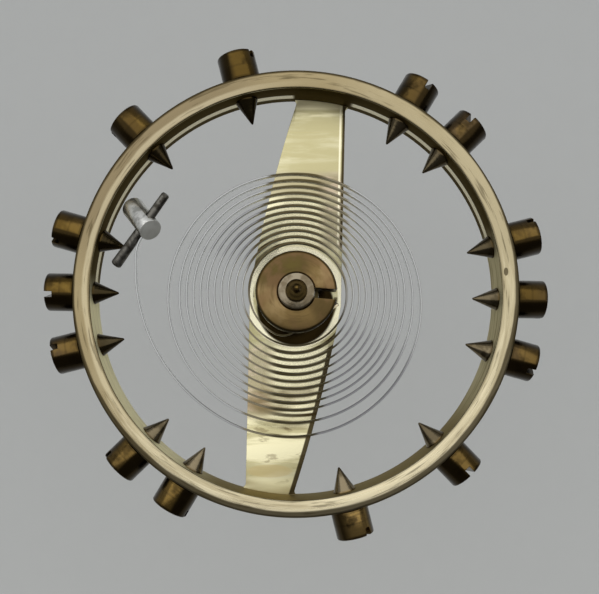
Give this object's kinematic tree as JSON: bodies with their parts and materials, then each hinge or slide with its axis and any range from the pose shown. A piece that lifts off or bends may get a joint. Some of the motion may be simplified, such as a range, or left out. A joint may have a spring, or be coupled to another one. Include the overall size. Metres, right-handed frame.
{
  "type": "balance wheel",
  "caption": "Screwed wristwatch balance: rim and tapered arm on a pivoted staff with rollers, split collet, flat hairspring and its stud.",
  "frame": {"origin": "end of the lower pivot, on the staff's axis", "axes": "+Z along the staff towards the upper pivot and the hairspring; +X and +Y lie in the wheel's plane, with the arm's long way close to Y"},
  "size_m": [0.0114, 0.0112, 0.004],
  "materials": {
    "gilt_brass": "pale gilt, satin",
    "screw_brass": "toned bronze, turned",
    "bronze_brass": "toned bronze, satin",
    "pin_brass": "bright drawn",
    "polished_steel": "polished",
    "stud_steel": "bright",
    "dark_steel": "dark, drawn",
    "spring_alloy": "fine polished",
    "ruby": "polished corundum"
  },
  "bodies": {
    "stud": {"stud": "stud_steel", "stud_pin": "dark_steel"},
    "balance": {"balance_wheel": "gilt_brass", "balance_staff": "polished_steel", "impulse_roller": "polished_steel", "safety_roller": "polished_steel", "impulse_jewel": "ruby", "collet": "bronze_brass", "collet_pin": "pin_brass", "hairspring": "spring_alloy", "balance_screw_01": "screw_brass", "balance_screw_02": "screw_brass", "balance_screw_03": "screw_brass", "balance_screw_04": "screw_brass", "balance_screw_05": "screw_brass", "balance_screw_06": "screw_brass", "balance_screw_07": "screw_brass", "balance_screw_08": "screw_brass", "balance_screw_09": "screw_brass", "balance_screw_10": "screw_brass", "balance_screw_11": "screw_brass", "balance_screw_12": "screw_brass", "balance_screw_13": "screw_brass", "balance_screw_14": "screw_brass"}
  },
  "joints": [
    {"name": "balance_swing", "type": "hinge", "parent": "stud", "child": "balance", "pos_m": [0, 0, 0], "axis": [0, 0, 1], "range_deg": [-300, 300], "stiffness_Nm_per_rad": 0.0000007, "deforming": ["hairspring"]}
  ]
}
